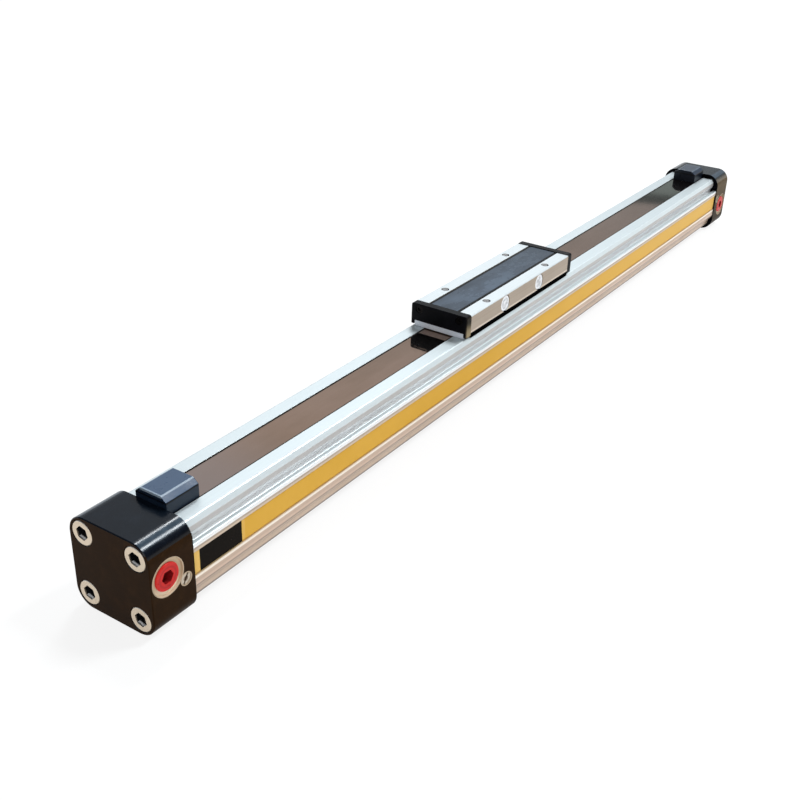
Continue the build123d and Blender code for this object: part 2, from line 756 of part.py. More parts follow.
# Carriage body: channel over the lifted band, closed below by its floor
with BuildPart() as carriage_body:
    with BuildSketch(section_at(carriage_x - body_length / 2)):
        with Locations((0, body_bottom)):
            Rectangle(2 * carriage_half_width, body_height, align=(Align.CENTER, Align.MIN))
        with Locations((0, floor_top)):
            Rectangle(
                2 * channel_half, body_height, align=(Align.CENTER, Align.MIN), mode=Mode.SUBTRACT
            )
        with Locations((0, body_top - cover_strip_thickness)):
            Rectangle(
                2 * (cover_strip_half + cover_strip_gap),
                body_height,
                align=(Align.CENTER, Align.MIN),
                mode=Mode.SUBTRACT,
            )
    extrude(amount=body_length)
    chamfer(
        carriage_body.edges().filter_by(Axis.X).group_by(Axis.Z)[-1].group_by(Axis.Y)[0], cap_edge
    )
    chamfer(
        carriage_body.edges().filter_by(Axis.X).group_by(Axis.Z)[-1].group_by(Axis.Y)[-1], cap_edge
    )
    # Beyond the floor the channel is open below, for the band's ramps
    with BuildSketch(Plane.XY.offset(body_bottom)):
        with Locations((carriage_x, 0)):
            Rectangle(body_length, 2 * channel_half)
            Rectangle(2 * floor_half_length, 2 * channel_half, mode=Mode.SUBTRACT)
    extrude(amount=floor_thickness, mode=Mode.SUBTRACT)
    with BuildSketch(Plane.XY.offset(body_top)):
        with Locations((carriage_x, 0)):
            with GridLocations(top_hole_pitch, top_hole_gauge, 2, 2):
                Circle(tapped_radius)
    extrude(amount=-top_hole_depth, mode=Mode.SUBTRACT)
    for side in (-1, 1):
        with BuildSketch(front_at(side * carriage_half_width)):
            with Locations((carriage_x, body_bottom + pin_height)):
                with GridLocations(pin_pitch, 1, 2, 1):
                    Circle(pin_radius + pin_fit)
        extrude(amount=side * (pin_length + pin_sink + pin_fit), mode=Mode.SUBTRACT)
    for end in (-1, 1):
        with BuildSketch(section_at(carriage_x + end * body_length / 2)):
            with Locations((0, plate_top - plate_screw_drop)):
                with GridLocations(2 * plate_screw_offset, 1, 2, 1):
                    Circle(plate_screw_radius + tapped_fit)
        extrude(amount=-end * (plate_screw_length - end_plate_thickness + fine_round), mode=Mode.SUBTRACT)
    with BuildSketch(Plane.XY.offset(body_bottom)):
        with Locations((carriage_x, 0)):
            with GridLocations(yoke_screw_pitch, 2 * yoke_screw_offset, 2, 2):
                Circle(yoke_screw_radius + screw_fit)
    extrude(amount=floor_thickness, mode=Mode.SUBTRACT)
    with BuildSketch(Plane.XY.offset(floor_top)):
        with Locations((carriage_x, 0)):
            with GridLocations(yoke_screw_pitch, 2 * yoke_screw_offset, 2, 2):
                Circle(yoke_screw_head_radius + screw_fit)
    extrude(amount=-yoke_screw_head_height, mode=Mode.SUBTRACT)
write(carriage_body.part, "carriage_body")

with BuildPart() as yoke_screws:
    with BuildSketch(Plane.XY.offset(floor_top)):
        with Locations((carriage_x, 0)):
            with GridLocations(yoke_screw_pitch, 2 * yoke_screw_offset, 2, 2):
                Circle(yoke_screw_head_radius)
    extrude(amount=-yoke_screw_head_height)
    with BuildSketch(Plane.XY.offset(floor_top)):
        with Locations((carriage_x, 0)):
            with GridLocations(yoke_screw_pitch, 2 * yoke_screw_offset, 2, 2):
                Circle(yoke_screw_radius)
    extrude(amount=-yoke_screw_length)
    with BuildSketch(Plane.XY.offset(floor_top)):
        with Locations((carriage_x, 0)):
            with GridLocations(yoke_screw_pitch, 2 * yoke_screw_offset, 2, 2):
                RegularPolygon(yoke_screw_radius, 6)
    extrude(amount=-yoke_screw_head_height / 2, mode=Mode.SUBTRACT)
write(yoke_screws.part, "yoke_screws")


# Carriage cover: strip let into the top, with a rib along each side
with BuildPart() as carriage_cover:
    with BuildSketch(section_at(carriage_x - body_length / 2 + cover_gap)):
        with Locations((0, body_top)):
            Rectangle(
                2 * cover_strip_half, cover_strip_thickness, align=(Align.CENTER, Align.MAX)
            )
        with Locations((0, body_top - cover_strip_thickness)):
            with GridLocations(2 * (channel_half - cover_strip_gap) - cover_rib_width, 1, 2, 1):
                Rectangle(cover_rib_width, cover_rib_height, align=(Align.CENTER, Align.MAX))
    extrude(amount=body_length - 2 * cover_gap)
write(carriage_cover.part, "carriage_cover")


# Side pins: flush steel plugs in both flanks
with BuildPart() as side_pins:
    for side in (-1, 1):
        with BuildSketch(front_at(side * (carriage_half_width - pin_sink))):
            with Locations((carriage_x, body_bottom + pin_height)):
                with GridLocations(pin_pitch, 1, 2, 1):
                    Circle(pin_radius)
        extrude(amount=side * pin_length)
    chamfer(side_pins.faces().filter_by(Axis.Y).group_by(Axis.Y)[0].edges(), cap_edge)
    chamfer(side_pins.faces().filter_by(Axis.Y).group_by(Axis.Y)[-1].edges(), cap_edge)
write(side_pins.part, "side_pins")


# Slide strips: plastic runners between the carriage and the barrel's rails
for side, label in ((-1, "front_slide_strip"), (1, "rear_slide_strip")):
    with BuildPart() as slide_strip:
        with BuildSketch(section_at(carriage_x - body_length / 2)):
            with BuildLine():
                Polyline(
                    (side * strip_inner_half, strip_bottom),
                    (side * rail_flat_half, strip_bottom),
                    (side * carriage_half_width, strip_bottom - strip_skirt),
                    (side * carriage_half_width, body_bottom),
                    (side * strip_inner_half, body_bottom),
                    close=True,
                )
            make_face()
        extrude(amount=body_length)
    write(slide_strip.part, label)


# End plate: closes the end of the carriage, with a leg down each side
with BuildPart() as end_plate:
    with BuildSketch(section_at(carriage_x + body_length / 2)):
        with BuildLine():
            FilletPolyline(
                (0, plate_top),
                (carriage_half_width, plate_top),
                (carriage_half_width, rail_top + plate_leg_bottom),
                (carriage_half_width - plate_leg_width, rail_top + plate_leg_bottom),
                (carriage_half_width - plate_leg_width, rail_top + plate_bottom),
                (0, rail_top + plate_bottom),
                radius=[plate_corner, edge_round, edge_round, fine_round],
            )
            mirror(about=Plane.YZ)
        make_face()
    extrude(amount=end_plate_thickness)
    chamfer(end_plate.faces().sort_by(Axis.X)[-1].edges(), cap_edge)
    plate_face = section_at(carriage_x + carriage_length / 2)
    with BuildSketch(plate_face):
        with Locations((0, plate_top - plate_screw_drop)):
            with GridLocations(2 * plate_screw_offset, 1, 2, 1):
                Circle(plate_head_radius + screw_fit)
    extrude(amount=-(plate_head_depth + cap_edge), mode=Mode.SUBTRACT)
    with BuildSketch(plate_face):
        with Locations((0, plate_top - plate_screw_drop)):
            with GridLocations(2 * plate_screw_offset, 1, 2, 1):
                Circle(plate_screw_radius + screw_fit)
    extrude(amount=-end_plate_thickness, mode=Mode.SUBTRACT)
write(end_plate.part, "right_end_plate")
write(end_plate.part.rotate(carriage_turn, 180), "left_end_plate")

with BuildPart() as plate_screws:
    with BuildSketch(section_at(carriage_x + carriage_length / 2 - cap_edge)):
        with Locations((0, plate_top - plate_screw_drop)):
            with GridLocations(2 * plate_screw_offset, 1, 2, 1):
                Circle(plate_head_radius)
    extrude(amount=-plate_head_depth)
    with BuildSketch(section_at(carriage_x + carriage_length / 2 - cap_edge)):
        with Locations((0, plate_top - plate_screw_drop)):
            with GridLocations(2 * plate_screw_offset, 1, 2, 1):
                Circle(plate_screw_radius)
    extrude(amount=-(plate_screw_length - cap_edge))
    with BuildSketch(section_at(carriage_x + carriage_length / 2 - cap_edge)):
        with Locations((0, plate_top - plate_screw_drop)):
            with GridLocations(2 * plate_screw_offset, 1, 2, 1):
                RegularPolygon(plate_screw_radius, 6)
    extrude(amount=-plate_head_depth / 2, mode=Mode.SUBTRACT)
write(plate_screws.part, "right_plate_screws")
write(plate_screws.part.rotate(carriage_turn, 180), "left_plate_screws")


# Wiper: pale scraper between the end plate's legs, just above the rails
with BuildPart() as wiper:
    with BuildSketch(section_at(carriage_x + carriage_length / 2 - wiper_inset)):
        with Locations((0, rail_top + wiper_gap)):
            Rectangle(
                2 * (carriage_half_width - plate_leg_width - fine_round),
                plate_bottom - wiper_gap,
                align=(Align.CENTER, Align.MIN),
            )
    extrude(amount=-wiper_thickness)
write(wiper.part, "right_wiper")
write(wiper.part.rotate(carriage_turn, 180), "left_wiper")
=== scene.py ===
import bpy
import bmesh
import json
import math
from mathutils import Matrix, Vector


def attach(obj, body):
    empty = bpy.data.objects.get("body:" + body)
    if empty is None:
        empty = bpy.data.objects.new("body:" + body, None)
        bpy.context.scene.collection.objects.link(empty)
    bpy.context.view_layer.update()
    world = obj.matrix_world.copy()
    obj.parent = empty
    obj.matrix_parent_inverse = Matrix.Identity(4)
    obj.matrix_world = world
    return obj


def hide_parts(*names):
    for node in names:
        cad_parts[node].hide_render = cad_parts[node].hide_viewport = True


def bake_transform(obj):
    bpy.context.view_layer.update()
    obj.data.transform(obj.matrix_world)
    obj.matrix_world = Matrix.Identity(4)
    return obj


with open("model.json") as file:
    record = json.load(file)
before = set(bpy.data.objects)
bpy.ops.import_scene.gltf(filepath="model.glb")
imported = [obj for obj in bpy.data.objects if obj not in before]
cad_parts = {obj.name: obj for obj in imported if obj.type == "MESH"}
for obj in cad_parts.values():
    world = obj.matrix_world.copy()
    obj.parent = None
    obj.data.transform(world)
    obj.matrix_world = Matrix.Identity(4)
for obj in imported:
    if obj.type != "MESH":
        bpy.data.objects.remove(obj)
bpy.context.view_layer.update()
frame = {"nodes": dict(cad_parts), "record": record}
scene = bpy.context.scene
scene.view_settings.view_transform = "Standard"
MM = 0.001

# Places on the CAD model that patterns and bands are set by, in millimetres
CARRIAGE_X = -20.0
CARRIAGE_TOP = 50.0
TOP_HOLE_X, TOP_HOLE_Y = 32.5, 12.5  # from the carriage's centre
PIN_X = 19.0  # from the carriage's centre
PIN_Z = 45.1
BORE_Z = 20.5
RAIL_TOP = 38.0
BAND_RECESS_HALF = 8.6
CAP_FACE_X = 300.0
CAP_INNER_X = 278.0
CAP_SCREW_OFFSET = 13.5  # from the bore axis, along Y and along Z
COVER_END_X = 277.9
PORT_X, PORT_LEFT_Z, PORT_RIGHT_Z = 291.4, 24.2, 16.8
NEEDLE_X, NEEDLE_LEFT_Z, NEEDLE_RIGHT_Z = 282.6, 18.25, 22.75
PANEL_LEFT, PANEL_RIGHT = -274.2, -250.7  # dark panel on the label

# A fixed level direction, the one the photograph looks along
AHEAD_X, AHEAD_Y = 0.84, 0.54


# Camera: at the photograph's viewing angle
FRAME_PIXELS = 800
FOCAL_PIXELS = 1089.4067
SENSOR = 36
AZIMUTH = math.radians(-56.8608)
ELEVATION = math.radians(28.0630)
ROLL = math.radians(1.9072)
DISTANCE = 628.8087 * MM
TARGET = Vector((-45.5854, 43.0677, -28.7161)) * MM
back = Vector((
    math.sin(AZIMUTH) * math.cos(ELEVATION),
    -math.cos(AZIMUTH) * math.cos(ELEVATION),
    math.sin(ELEVATION),
))
right = Vector((0, 0, 1)).cross(back).normalized()
up = back.cross(right)
turned_right = right * math.cos(ROLL) + up * math.sin(ROLL)
turned_up = up * math.cos(ROLL) - right * math.sin(ROLL)
camera_data = bpy.data.cameras.new("camera")
camera_data.sensor_width = SENSOR
camera_data.lens = FOCAL_PIXELS * SENSOR / FRAME_PIXELS
camera_data.clip_start = 0.01
camera_data.clip_end = 50
camera = bpy.data.objects.new("camera", camera_data)
scene.collection.objects.link(camera)
camera.matrix_world = Matrix.Translation(TARGET + back * DISTANCE) @ Matrix((
    (turned_right.x, turned_up.x, back.x, 0),
    (turned_right.y, turned_up.y, back.y, 0),
    (turned_right.z, turned_up.z, back.z, 0),
    (0, 0, 0, 1),
))
scene.camera = camera


# Node helpers
class Nodes:
    """Short names for building one material's or world's node tree."""

    def __init__(self, tree):
        self.tree = tree
        self.tree.nodes.clear()

    def put(self, socket, value):
        """Sets a socket, or links it where the value is another node's output."""
        if isinstance(value, bpy.types.NodeSocket):
            self.tree.links.new(value, socket)
        else:
            socket.default_value = value

    def add(self, kind, *values, **named):
        """A node, with its first inputs set to the values and others by name."""
        node = self.tree.nodes.new(kind)
        for socket, value in zip(node.inputs, values):
            self.put(socket, value)
        for name, value in named.items():
            self.put(node.inputs[name], value)
        return node

    def math(self, operation, a, b=0.0):
        node = self.add("ShaderNodeMath", a, b)
        node.operation = operation
        return node.outputs[0]

    def product(self, first, *others):
        for other in others:
            first = self.math("MULTIPLY", first, other)
        return first

    def most(self, first, *others):
        for other in others:
            first = self.math("MAXIMUM", first, other)
        return first

    def absolute(self, value):
        return self.math("ABSOLUTE", value)

    def less(self, value, limit):
        return self.math("LESS_THAN", value, limit)

    def more(self, value, limit):
        return self.math("GREATER_THAN", value, limit)

    def wave(self, value, rate):
        return self.math("SINE", self.math("MULTIPLY", value, rate))

    def distance(self, a, b, centre_a, centre_b):
        """Distance from an axis, seen along it."""
        da = self.math("SUBTRACT", a, centre_a)
        db = self.math("SUBTRACT", b, centre_b)
        squares = self.math("ADD", self.math("MULTIPLY", da, da), self.math("MULTIPLY", db, db))
        return self.math("SQRT", squares)

    def spread(self, value, low, high, to_low=0.0, to_high=1.0):
        """Goes smoothly from to_low to to_high as the value goes from low to high."""
        node = self.add("ShaderNodeMapRange", value, low, high, to_low, to_high)
        node.interpolation_type = "SMOOTHSTEP"
        return node.outputs[0]

    def middle(self, noise, to_low=0.0, to_high=1.0):
        """Spreads the middle of a noise's range."""
        return self.spread(noise, 0.3, 0.7, to_low, to_high)

    def mix(self, factor, a, b, blend="MIX"):
        """A colour going from a to b by the factor."""
        node = self.tree.nodes.new("ShaderNodeMix")
        node.data_type = "RGBA"
        node.blend_type = blend
        self.put(node.inputs[0], factor)
        for socket, value in ((node.inputs[6], a), (node.inputs[7], b)):
            if isinstance(value, tuple):
                value = (*value, 1.0)
            self.put(socket, value)
        return node.outputs[2]

    def between(self, factor, a, b):
        """A number going from a to b by the factor."""
        node = self.tree.nodes.new("ShaderNodeMix")
        for socket, value in ((node.inputs[0], factor), (node.inputs[2], a), (node.inputs[3], b)):
            self.put(socket, value)
        return node.outputs[0]

    def place(self, scale):
        """Object coordinates in metres, times a scale."""
        coordinates = self.tree.nodes.new("ShaderNodeTexCoord")
        return self.add("ShaderNodeMapping", coordinates.outputs["Object"], Scale=scale).outputs[0]

    def noise(self, scale, detail, rough, distortion=0.0, at=(1, 1, 1)):
        node = self.add(
            "ShaderNodeTexNoise", Scale=scale, Detail=detail, Roughness=rough,
            Distortion=distortion, Vector=self.place(at),
        )
        return node.outputs[0]

    def grain(self):
        """The fine grain of a moulded surface."""
        return self.noise(1500.0, 2.0, 0.5)

    def axes(self):
        """Object coordinates as three values, in millimetres."""
        return self.add("ShaderNodeSeparateXYZ", self.place((1000, 1000, 1000))).outputs

    def facing(self):
        """The surface's direction as three values."""
        geometry = self.tree.nodes.new("ShaderNodeNewGeometry")
        return self.add("ShaderNodeSeparateXYZ", geometry.outputs["Normal"]).outputs

    def bump(self, height, strength, distance=0.00003):
        node = self.add("ShaderNodeBump", Height=height, Strength=strength, Distance=distance)
        return node.outputs[0]

    def finish(self, **inputs):
        """The shader, with its inputs by name, and the material's output."""
        named = {key.replace("_", " "): value for key, value in inputs.items()}
        shader = self.add("ShaderNodeBsdfPrincipled", **named)
        self.end(shader, "ShaderNodeOutputMaterial")

    def end(self, shader, kind):
        self.add(kind, shader.outputs[0])


def material(name):
    made = bpy.data.materials.new(name)
    made.use_nodes = True
    return made, Nodes(made.node_tree)


def cap_fitting(n, x, z, centre_x, left_z, right_z):
    """Three values: 1 at the right end and 0 at the left, then the height of that cap's port
    or needle axis, then the distance from it."""
    right_end = n.more(x, 0.0)
    end_x = n.math("SUBTRACT", n.product(right_end, 2 * centre_x), centre_x)
    end_z = n.math("ADD", n.product(right_end, right_z - left_z), left_z)
    return right_end, end_z, n.distance(x, z, end_x, end_z)


# Metals
# The barrel's upright faces from the top down, as painted light and shade: paler bands stand for
# highlights on the ledges and darker ones for shade at the edges and the foot. Each colour starts
# where the height falls from the first figure to the second
BARREL_SIDE_LIGHT_AND_SHADE = (
    (27.7, 27.3, (0.66, 0.53, 0.41)),
    (15.9, 15.7, (0.98, 0.88, 0.76)),
    (14.9, 14.5, (0.60, 0.445, 0.345)),
    (13.2, 12.8, (0.69, 0.52, 0.41)),
    (12.0, 11.6, (0.40, 0.30, 0.235)),
    (11.1, 10.9, (0.50, 0.355, 0.25)),
    (8.0, 7.2, (0.66, 0.50, 0.375)),
    (5.2, 4.5, (0.20, 0.155, 0.125)),
)


def barrel_colours(n, facing_up, top, side):
    """Side grooves painted pale low down and grey higher up, the painted light and shade lines
    along the sides, rail tops painted greyer to the right as painted shade, sloping faces painted
    paler as painted light, and a painted shadow and reflection of the label on up-facing faces
    below it.
    """
    along, _, height = n.axes()
    # Painted light and shade in the side grooves: pale low down, grey higher up
    groove = n.mix(n.spread(height, 32.8, 33.6), (0.96, 0.95, 0.95), (0.54, 0.52, 0.51))
    side = n.mix(n.spread(height, 28.2, 28.6), side, groove)
    for upper, lower, colour in BARREL_SIDE_LIGHT_AND_SHADE:
        side = n.mix(n.spread(height, upper, lower), side, colour)
    # Painted shade: the tops greyer towards the right end
    top = n.mix(n.spread(along, 20.0, 280.0, 0.0, 0.30), top, (0.36, 0.40, 0.42))
    # Painted light: sloping faces paler than level ones
    sloping = (0.80, 0.87, 0.89)
    top = n.mix(n.spread(facing_up, 0.75, 0.95), sloping, top)
    # Painted shadow and painted reflection of the label on up-facing faces below it
    label_floor = (0.66, 0.48, 0.24)
    return n.mix(n.spread(height, 16.7, 16.5), top, label_floor), side


def band_gap(n, base):
    """Shade in the gap between the outer band and its recess."""
    _, across, height = n.axes()
    gap = n.product(
        n.less(n.absolute(across), BAND_RECESS_HALF + 0.1),
        n.spread(height, RAIL_TOP - 0.05, RAIL_TOP - 0.15),
    )
    return n.mix(gap, base, (0.06, 0.05, 0.045))


def tapped_holes(n, base, metallic):
    """Cut threads in the carriage's holes: a painted highlight along one diagonal and painted
    shade across it, with no metallic gloss inside.
    """
    x, y, z = n.axes()
    facing_x, facing_y, _ = n.facing()
    from_centre = n.absolute(n.math("SUBTRACT", x, CARRIAGE_X))
    radius = n.distance(from_centre, n.absolute(y), TOP_HOLE_X, TOP_HOLE_Y)
    inside = n.product(n.less(radius, 2.3), n.less(z, CARRIAGE_TOP - 0.2))
    diagonal = n.math("ADD", n.product(facing_x, AHEAD_X), n.product(facing_y, AHEAD_Y))
    # Painted shade on the walls that face across the fixed direction
    cheek_shade = n.spread(n.absolute(diagonal), 0.80, 0.62)
    thread = n.spread(n.wave(z, 9.0), -0.4, 0.6)
    # Painted light: near-white threads
    bright = n.mix(thread, (0.90, 0.92, 0.94), (1.0, 1.0, 1.0))
    base = n.mix(inside, base, n.mix(cheek_shade, bright, (0.03, 0.03, 0.035)))
    return base, n.between(inside, metallic, 0.0)


def metal(name, top, side, rough, grain, metallic=1.0, drawn=True, barrel=False, carriage=False):
    """Bare or anodised metal: faces that look up painted cooler and upright ones warmer, as
    painted reflection, with faint clouding, and with lengthwise lines where it is drawn or planed."""
    made, n = material(name)
    facing_up = n.facing()[2]
    if barrel:
        top, side = barrel_colours(n, facing_up, top, side)
    if carriage:
        # Painted highlight: a paler, warmer band along the foot of the carriage's sides
        side = n.mix(n.spread(n.axes()[2], 42.0, 41.4), side, (0.66, 0.56, 0.46))
    # Painted reflection: the top colour on faces that look up, the side colour on upright ones
    base = n.mix(n.spread(facing_up, 0.15, 0.6), side, top)
    if barrel:
        base = band_gap(n, base)
    cloud = n.noise(38.0, 4.0, 0.6)
    lines = n.noise(1.0, 3.0, 0.6, at=(2, 900, 900) if drawn else (60, 60, 60))
    fine = n.noise(2400.0, 2.0, 0.6)
    base = n.mix(n.middle(cloud, 0.0, 0.1), base, (0.55, 0.52, 0.48), "MULTIPLY")
    base = n.mix(n.spread(lines, 0.4, 0.75, 0.0, 0.14), base, (0.66, 0.64, 0.61), "MULTIPLY")
    if carriage:
        base, metallic = tapped_holes(n, base, metallic)
    roughness = n.math(
        "ADD",
        n.spread(lines, 0.25, 0.75, rough - 0.05, rough + 0.05),
        n.middle(cloud, -0.03, 0.03),
    )
    height = n.math("ADD", n.product(lines, 0.15), fine)
    n.finish(
        Base_Color=base, Metallic=metallic, Roughness=roughness, Normal=n.bump(height, grain),
    )
    return made


def socket_steel():
    """Plated screws: pale turned faces, painted cream on upright faces and grey on upward ones as
    painted reflection, and the cap screws' drive sockets, painted black as painted shade but for a
    painted glint on the lower wall."""
    made, n = material("plated_steel")
    x, y, z = n.axes()
    facing_up = n.facing()[2]
    from_axis = n.absolute(n.math("SUBTRACT", z, BORE_Z))
    radius = n.distance(n.absolute(y), from_axis, CAP_SCREW_OFFSET, CAP_SCREW_OFFSET)
    depth = n.absolute(x)
    cloud = n.noise(120.0, 4.0, 0.6)
    pale = n.mix(n.middle(cloud), (0.60, 0.50, 0.38), (0.68, 0.57, 0.44))
    # Painted reflection: grey on faces that look up, cream on upright ones
    pale = n.mix(n.spread(facing_up, 0.2, 0.8), pale, (0.82, 0.82, 0.80))
    # Painted shade inside the cap screws' drive sockets, with a painted glint on the lower wall
    # near the mouth
    socket = n.product(n.less(radius, 3.08), n.less(depth, CAP_FACE_X - 0.65))
    glint = n.product(
        n.spread(facing_up, 0.3, 0.7),
        n.spread(depth, CAP_FACE_X - 1.8, CAP_FACE_X - 1.1),
    )
    dark = n.mix(glint, (0.006, 0.006, 0.007), (0.97, 0.98, 1.0))
    turned = n.product(n.wave(radius, 40.0), 0.15)
    n.finish(
        Base_Color=n.mix(socket, pale, dark),
        Metallic=n.between(socket, 0.85, 0.0),
        Roughness=n.middle(cloud, 0.26, 0.38),
        Normal=n.bump(n.math("ADD", turned, n.noise(2400.0, 2.0, 0.6)), 0.20),
    )
    return made


def cap_black(name, top, side, level, rough):
    """Black die casting with fine pits and rubbed specks, and bare turned metal round the port and
    the needle. Faces that look up are painted bluer than upright ones as painted light, the round
    corner carries a painted bluish sheen, the joint face painted shade, and the right cap's flank
    a painted brown reflection, lighter towards the top. The bare metal is painted lighter below
    the port's axis as painted light, and is darker at its outer edge and on the right cap."""
    made, n = material(name)
    x, y, z = n.axes()
    _, facing_y, facing_up = n.facing()
    right_end, port_z, radius = cap_fitting(n, x, z, PORT_X, PORT_LEFT_Z, PORT_RIGHT_Z)
    needle_radius = cap_fitting(n, x, z, NEEDLE_X, NEEDLE_LEFT_Z, NEEDLE_RIGHT_Z)[2]

    # Painted light: faces that look up take the top colour, upright ones the side colour
    upward = n.spread(facing_up, 0.35, 0.85)
    # Painted reflection: the right cap's upright faces turn brown, lighter towards the top
    brown = n.mix(n.spread(z, 12.0, 34.0), (0.05, 0.035, 0.020), (0.15, 0.108, 0.058))
    side = n.mix(n.product(right_end, n.less(facing_y, -0.6), 0.6), side, brown)
    # Painted shade on the joint face against the barrel
    joint_face = n.spread(n.absolute(x), CAP_INNER_X + 0.5, CAP_INNER_X + 0.2)
    side = n.mix(joint_face, side, (0.002, 0.002, 0.003))
    base = n.mix(upward, side, top)
    # Painted sheen: a bluish tone on the round corner
    round_corner = n.product(n.spread(facing_up, 0.72, 0.80), n.spread(facing_up, 0.985, 0.95))
    base = n.mix(round_corner, base, (0.030, 0.050, 0.072))
    cloud = n.noise(150.0, 6.0, 0.7)
    base = n.mix(n.spread(cloud, 0.42, 0.75, 0.0, 0.5), base, (1.9, 1.9, 1.9), "MULTIPLY")
    speck = n.noise(900.0, 3.0, 0.6)
    rubbed = n.product(n.spread(speck, 0.62, 0.80, 0.0, 0.15), upward)
    base = n.mix(rubbed, base, (0.085, 0.088, 0.095))

    bare = n.most(n.less(radius, 8.0), n.less(needle_radius, 2.95))
    bare = n.product(bare, n.less(y, -10.0))
    # Painted light: the bare metal paler below the port's axis
    below = n.math("SUBTRACT", port_z, z)
    turned = n.mix(n.spread(below, 1.0, 6.5), (0.62, 0.50, 0.34), (0.86, 0.73, 0.55))
    turned = n.mix(n.spread(radius, 7.5, 7.7), turned, (0.52, 0.40, 0.28))
    turned = n.mix(n.product(right_end, 0.45), turned, (0.10, 0.07, 0.04))
    rings = n.product(n.wave(radius, 34.0), bare, 0.2)
    n.finish(
        Base_Color=n.mix(bare, base, turned),
        Metallic=n.product(bare, 0.15),
        Roughness=n.between(bare, n.middle(cloud, rough - 0.04, rough + 0.06), 0.34),
        Specular_IOR_Level=level,
        Normal=n.bump(n.math("ADD", speck, rings), 0.12, 0.00004),
    )
    return made


def pin_steel():
    """Ground pins in the carriage's flanks: a pale rim round a stained centre."""
    made, n = material("pin_steel")
    x, _, z = n.axes()
    from_centre = n.absolute(n.math("SUBTRACT", x, CARRIAGE_X))
    radius = n.distance(from_centre, z, PIN_X, PIN_Z)
    stain = n.noise(420.0, 3.0, 0.6, 0.5)
    centre = n.mix(n.spread(stain, 0.38, 0.62), (0.50, 0.51, 0.54), (0.86, 0.87, 0.90))
    colour = n.mix(n.spread(radius, 2.9, 3.4), centre, (0.90, 0.91, 0.94))
    colour = n.mix(n.spread(radius, 4.05, 4.25), colour, (0.45, 0.44, 0.44))
    n.finish(
        Base_Color=colour,
        Metallic=0.5,
        Roughness=n.middle(stain, 0.28, 0.42),
        Normal=n.bump(n.wave(radius, 30.0), 0.08),
    )
    return made


def needle_brass():
    """Turned cushion needle, with painted shade in its dished centre."""
    made, n = material("turned_brass")
    x, _, z = n.axes()
    radius = cap_fitting(n, x, z, NEEDLE_X, NEEDLE_LEFT_Z, NEEDLE_RIGHT_Z)[2]
    cloud = n.noise(300.0, 3.0, 0.6)
    pale = n.mix(n.middle(cloud), (0.46, 0.39, 0.30), (0.56, 0.50, 0.42))
    n.finish(
        # Painted shade in the centre
        Base_Color=n.mix(n.spread(radius, 1.35, 0.95), pale, (0.16, 0.11, 0.075)),
        Metallic=0.85,
        Roughness=n.middle(cloud, 0.24, 0.36),
        Normal=n.bump(n.wave(radius, 40.0), 0.10),
    )
    return made


def band_steel():
    """Rolled stainless strip: mirror-like, with faint lengthwise rolling lines and a few rub
    marks. Its brown tone is a painted reflection, and it is painted greyer by the left cover, also
    as painted reflection."""
    made, n = material("band_steel")
    lines = n.noise(1.0, 4.0, 0.7, at=(5, 2600, 2600))
    wear = n.noise(26.0, 4.0, 0.6, at=(0.6, 1.6, 1))
    rub = n.spread(n.noise(1.0, 2.0, 0.5, 0.6, at=(160, 45, 45)), 0.62, 0.72)
    # Painted reflection: the brown tone of the steel
    base = n.mix(n.middle(wear), (0.250, 0.160, 0.110), (0.302, 0.198, 0.145))
    base = n.mix(n.spread(lines, 0.45, 0.8, 0.0, 0.30), base, (0.39, 0.29, 0.22))
    # Painted reflection: greyer by the left cover
    left_end_reflection = n.spread(n.axes()[0], -200.0, -255.0, 0.0, 0.8)
    base = n.mix(left_end_reflection, base, (0.265, 0.215, 0.200))
    n.finish(
        Base_Color=base,
        Metallic=1.0,
        Roughness=n.math("ADD", n.middle(lines, 0.02, 0.05), n.product(rub, 0.10)),
        Coat_Weight=0.12,
        Coat_Roughness=0.30,
        Normal=n.bump(lines, 0.02, 0.00002),
    )
    return made


# Plastics, rubber and print
def plastic(name, top, side, rough, grain, level=0.5):
    """Moulded or painted surface: a fine grain and faint clouding, with faces that look up in the
    top colour and upright ones in the side colour, as painted light.
    """
    made, n = material(name)
    # Painted light: the top colour on faces that look up
    base = n.mix(n.spread(n.facing()[2], 0.15, 0.5), side, top)
    cloud = n.noise(70.0, 5.0, 0.62)
    base = n.mix(n.spread(cloud, 0.35, 0.8, 0.0, 0.35), base, (1.5, 1.5, 1.5), "MULTIPLY")
    n.finish(
        Base_Color=base,
        Roughness=n.middle(cloud, rough - 0.05, rough + 0.06),
        Specular_IOR_Level=level,
        Normal=n.bump(n.grain(), grain),
    )
    return made


